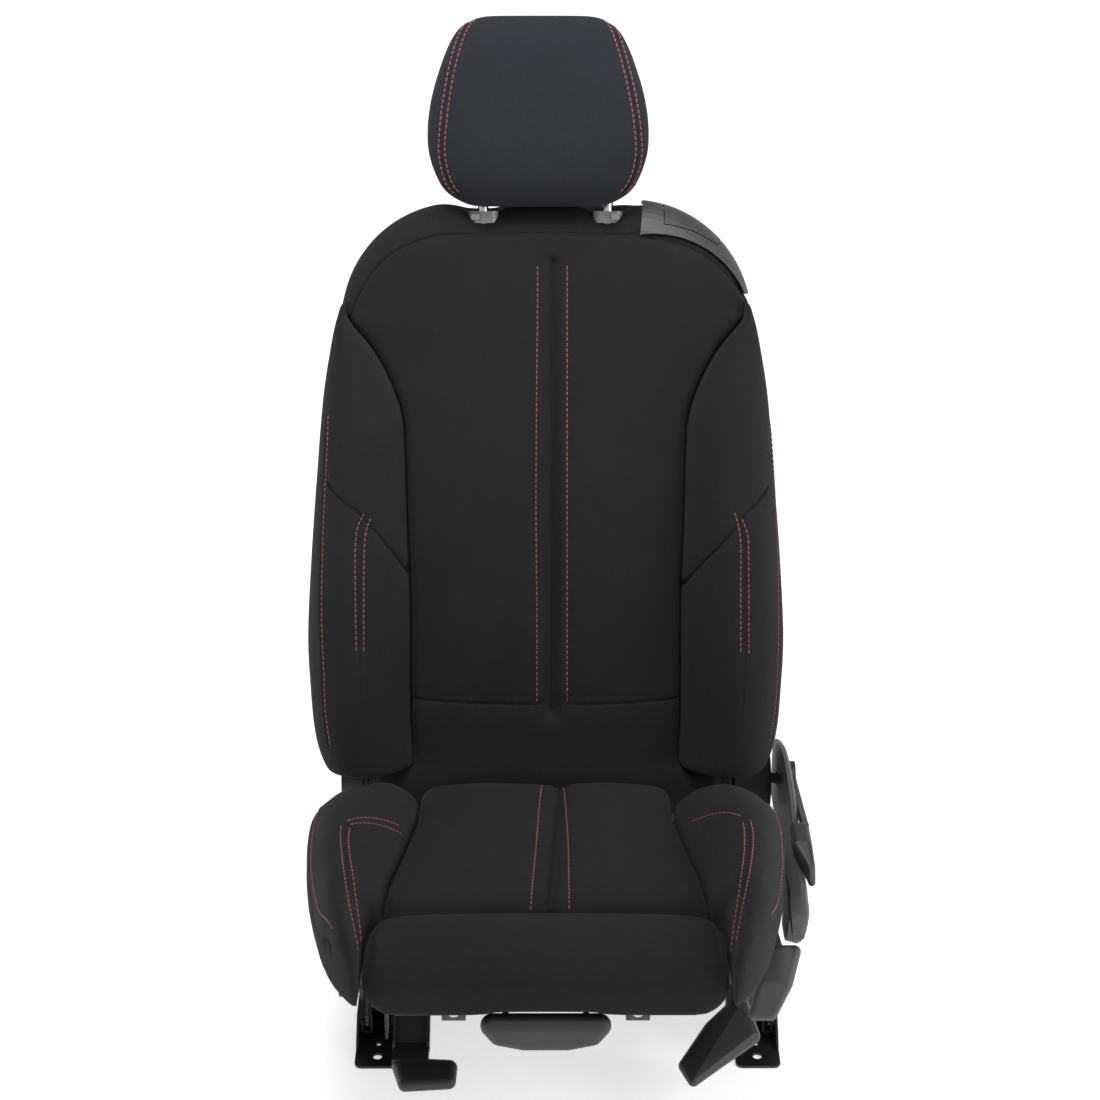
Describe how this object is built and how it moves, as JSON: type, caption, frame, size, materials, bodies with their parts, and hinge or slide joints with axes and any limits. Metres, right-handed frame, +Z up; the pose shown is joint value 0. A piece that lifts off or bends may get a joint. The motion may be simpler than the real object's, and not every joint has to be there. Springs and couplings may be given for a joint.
{
  "type": "sport front seat",
  "caption": "Adjustable car sport seat with bolstered cushion and backrest, headrest on posts, thigh support, side levers and floor rails.",
  "frame": {"origin": "centre of the four floor bolts, in the plane under the lower rails", "axes": "+X across the seat towards the door side with the levers, the seat faces -Y, +Z up from the floor"},
  "size_m": [0.5621, 0.7594, 1.057],
  "materials": {
    "rail_steel": "satin black coating",
    "frame_steel": "satin black coating",
    "bright_steel": "bright zinc",
    "chrome_steel": "dark polished",
    "trim_plastic": "fine-grained grey",
    "trim_plastic_dark": "fine-grained black",
    "glide_plastic": "plain",
    "seat_fabric": "black cloth with dark red stitching"
  },
  "bodies": {
    "rails": {"lower_rail_inboard": "rail_steel", "lower_rail_outboard": "rail_steel", "latch_strips": "bright_steel", "rail_end_caps": "trim_plastic_dark"},
    "carriage": {"upper_rail_inboard": "rail_steel", "upper_rail_outboard": "rail_steel", "rail_glides": "glide_plastic", "link_brackets": "rail_steel", "link_pins": "bright_steel", "release_bearings": "rail_steel"},
    "slide_release": {"release_tube": "rail_steel", "release_paddle": "trim_plastic", "release_grip": "trim_plastic_dark"},
    "front_link_body": {"front_links": "rail_steel", "front_torque_tube": "rail_steel"},
    "rear_link_body": {"rear_links": "rail_steel", "rear_torque_tube": "rail_steel"},
    "seat_frame": {"side_member_inboard": "frame_steel", "side_member_outboard": "frame_steel", "cushion_pan": "frame_steel", "rear_cross_tube": "frame_steel", "seat_springs": "bright_steel", "height_pump": "frame_steel", "recliner_bases": "bright_steel", "recliner_cap": "trim_plastic_dark", "side_trim": "trim_plastic", "thigh_guide_tubes": "bright_steel", "cushion_center_pad": "seat_fabric", "cushion_bolster_inboard": "seat_fabric", "cushion_bolster_outboard": "seat_fabric"},
    "thigh_support": {"thigh_pad": "seat_fabric", "thigh_tray": "trim_plastic_dark", "thigh_rods": "chrome_steel", "thigh_bellows": "seat_fabric"},
    "thigh_release": {"thigh_handle": "trim_plastic"},
    "height_lever_body": {"height_lever": "trim_plastic"},
    "recline_release": {"recline_lever": "trim_plastic_dark", "recliner_shaft": "bright_steel"},
    "backrest": {"backrest_member_inboard": "frame_steel", "backrest_member_outboard": "frame_steel", "upper_crossmember": "frame_steel", "lower_crossmember": "frame_steel", "recliner_hubs": "bright_steel", "suspension_mat": "bright_steel", "lumbar_plate": "trim_plastic_dark", "airbag_module": "trim_plastic_dark", "back_shell": "trim_plastic_dark", "backrest_center_pad": "seat_fabric", "backrest_bolster_inboard": "seat_fabric", "backrest_bolster_outboard": "seat_fabric", "headrest_sleeves": "trim_plastic", "shoulder_trim": "trim_plastic"},
    "fold_lever": {"shoulder_lever": "trim_plastic"},
    "headrest": {"headrest_posts": "chrome_steel", "headrest_core": "trim_plastic_dark", "headrest_pad": "seat_fabric"},
    "headrest_catch_inboard": {"headrest_button_inboard": "trim_plastic_dark"},
    "headrest_catch_outboard": {"headrest_button_outboard": "trim_plastic_dark"}
  },
  "joints": [
    {"name": "seat_slide", "type": "slide", "parent": "rails", "child": "carriage", "axis": [0, 1, 0], "range_m": [-0.01, 0.2]},
    {"name": "slide_release_turn", "type": "hinge", "parent": "carriage", "child": "slide_release", "pos_m": [-0.024, -0.215, 0.122], "axis": [1, 0, 0], "range_deg": [-10, 0], "stiffness_Nm_per_rad": 3, "springref_deg": 11.46},
    {"name": "height_front", "type": "hinge", "parent": "carriage", "child": "front_link_body", "pos_m": [-0.024, -0.18, 0.072], "axis": [1, 0, 0], "range_deg": [0, 35]},
    {"name": "height_rear", "type": "hinge", "parent": "carriage", "child": "rear_link_body", "pos_m": [-0.024, 0.06, 0.072], "axis": [1, 0, 0], "range_deg": [0, 35]},
    {"name": "seat_level", "type": "hinge", "parent": "front_link_body", "child": "seat_frame", "pos_m": [-0.024, -0.10175, 0.08863], "axis": [1, 0, 0], "range_deg": [-35, 0]},
    {"name": "thigh_extend", "type": "slide", "parent": "seat_frame", "child": "thigh_support", "axis": [0, -1, 0], "range_m": [0, 0.06]},
    {"name": "thigh_release_pull", "type": "hinge", "parent": "thigh_support", "child": "thigh_release", "pos_m": [-0.024, -0.422, 0.236], "axis": [1, 0, 0], "range_deg": [-7, 0], "stiffness_Nm_per_rad": 1.5, "springref_deg": 11.46},
    {"name": "height_pump_stroke", "type": "hinge", "parent": "seat_frame", "child": "height_lever_body", "pos_m": [-0.024, -0.202, 0.16], "axis": [1, 0, 0], "range_deg": [-8, 15], "stiffness_Nm_per_rad": 6},
    {"name": "recline_release_pull", "type": "hinge", "parent": "seat_frame", "child": "recline_release", "pos_m": [-0.024, 0.025, 0.215], "axis": [1, 0, 0], "range_deg": [-18, 0], "stiffness_Nm_per_rad": 6, "springref_deg": 14.32},
    {"name": "backrest_recline", "type": "hinge", "parent": "seat_frame", "child": "backrest", "pos_m": [-0.024, 0.025, 0.215], "axis": [1, 0, 0], "range_deg": [-35, 20.5]},
    {"name": "fold_lever_pull", "type": "hinge", "parent": "backrest", "child": "fold_lever", "pos_m": [0.071, 0.26117, 0.82812], "axis": [1, 0, 0], "range_deg": [-12, 0], "stiffness_Nm_per_rad": 0.8, "springref_deg": 11.46},
    {"name": "headrest_height", "type": "slide", "parent": "backrest", "child": "headrest", "axis": [0, 0.3502, 0.9367], "range_m": [0, 0.06]},
    {"name": "headrest_catch_inboard_press", "type": "slide", "parent": "backrest", "child": "headrest_catch_inboard", "axis": [0, 0.9367, -0.3502], "range_m": [0, 0.003], "stiffness_N_per_m": 300, "springref_m": -0.003},
    {"name": "headrest_catch_outboard_press", "type": "slide", "parent": "backrest", "child": "headrest_catch_outboard", "axis": [0, 0.9367, -0.3502], "range_m": [0, 0.003], "stiffness_N_per_m": 300, "springref_m": -0.003}
  ],
  "couplings": [
    {"joint": "height_rear", "follows": "height_front", "ratio": 1},
    {"joint": "seat_level", "follows": "height_front", "ratio": -1}
  ]
}
